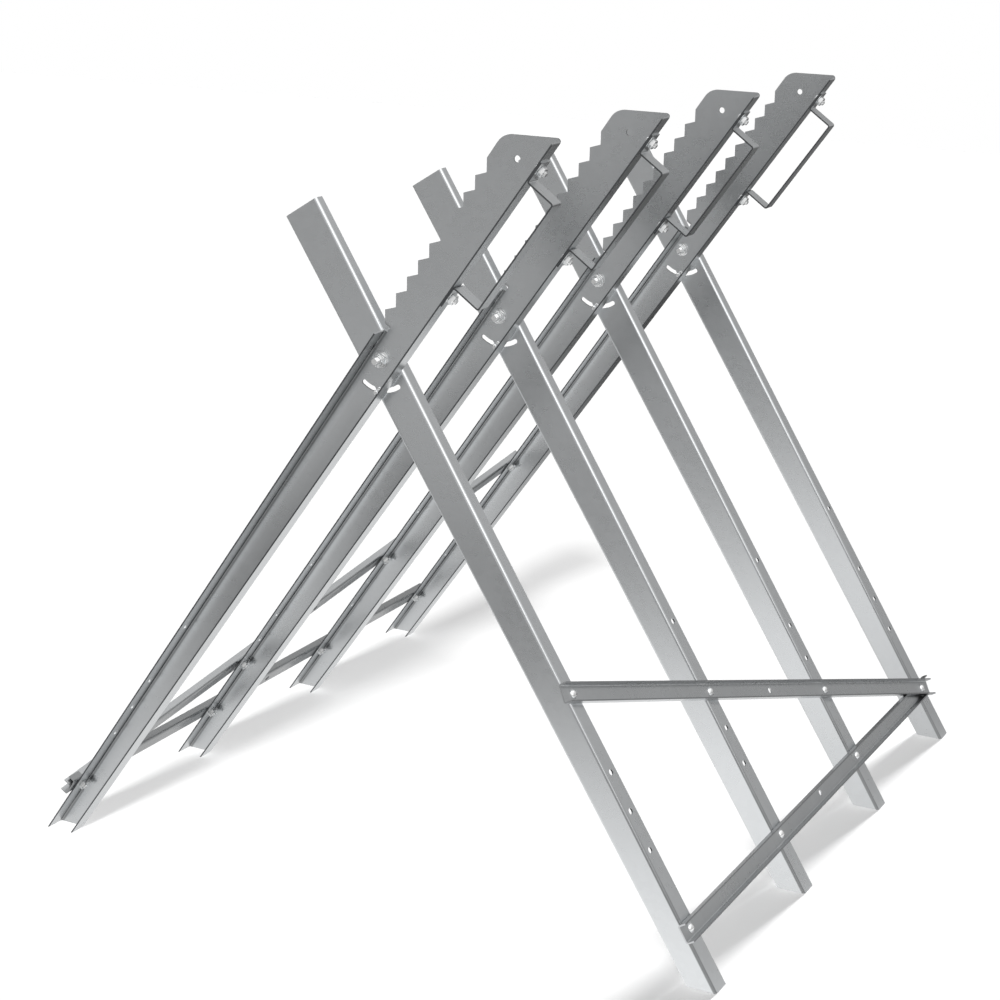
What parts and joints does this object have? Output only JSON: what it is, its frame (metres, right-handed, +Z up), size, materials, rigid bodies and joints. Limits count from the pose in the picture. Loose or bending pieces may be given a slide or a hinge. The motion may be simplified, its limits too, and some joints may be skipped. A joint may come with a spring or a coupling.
{
  "type": "log saw stand",
  "caption": "Folding sheet-steel log saw stand of crossed channel frames with toothed arms, grab handles and bolted channel braces; the legs fold about one pivot line.",
  "frame": {"origin": "on the floor, in the middle of the stand's box", "axes": "+X across the stand towards the feet of the plain legs, +Y along the log away from the first frame, +Z up"},
  "size_m": [0.7832, 0.7938, 0.798],
  "materials": {
    "galvanised_sheet": "satin galvanised sheet",
    "zinc_fasteners": "bright zinc plate"
  },
  "bodies": {
    "arm_frame": {"toothed_arm_1": "galvanised_sheet", "toothed_arm_2": "galvanised_sheet", "toothed_arm_3": "galvanised_sheet", "toothed_arm_4": "galvanised_sheet", "handle_1": "galvanised_sheet", "handle_2": "galvanised_sheet", "handle_3": "galvanised_sheet", "handle_4": "galvanised_sheet", "arm_lower_brace": "galvanised_sheet", "arm_diagonal_brace": "galvanised_sheet", "arm_brace_bolts": "zinc_fasteners", "arm_brace_nuts": "zinc_fasteners", "handle_bolts": "zinc_fasteners", "handle_nuts": "zinc_fasteners", "pivot_bolts": "zinc_fasteners", "pivot_washers": "zinc_fasteners", "pivot_nuts": "zinc_fasteners"},
    "leg_frame": {"leg_1": "galvanised_sheet", "leg_2": "galvanised_sheet", "leg_3": "galvanised_sheet", "leg_4": "galvanised_sheet", "leg_lower_brace": "galvanised_sheet", "leg_diagonal_brace": "galvanised_sheet", "leg_brace_bolts": "zinc_fasteners", "leg_brace_nuts": "zinc_fasteners"},
    "stop_pins": {"stop_pins": "zinc_fasteners", "stop_collars": "zinc_fasteners"}
  },
  "joints": [
    {"name": "fold", "type": "hinge", "parent": "arm_frame", "child": "leg_frame", "pos_m": [0.01673, 0, 0.574], "axis": [0, 1, 0], "range_deg": [0, 64]},
    {"name": "stop_slide", "type": "hinge", "parent": "arm_frame", "child": "stop_pins", "pos_m": [0.01673, 0, 0.574], "axis": [0, 1, 0], "range_deg": [0, 32]}
  ],
  "couplings": [
    {"joint": "stop_slide", "follows": "fold", "ratio": 0.5}
  ]
}
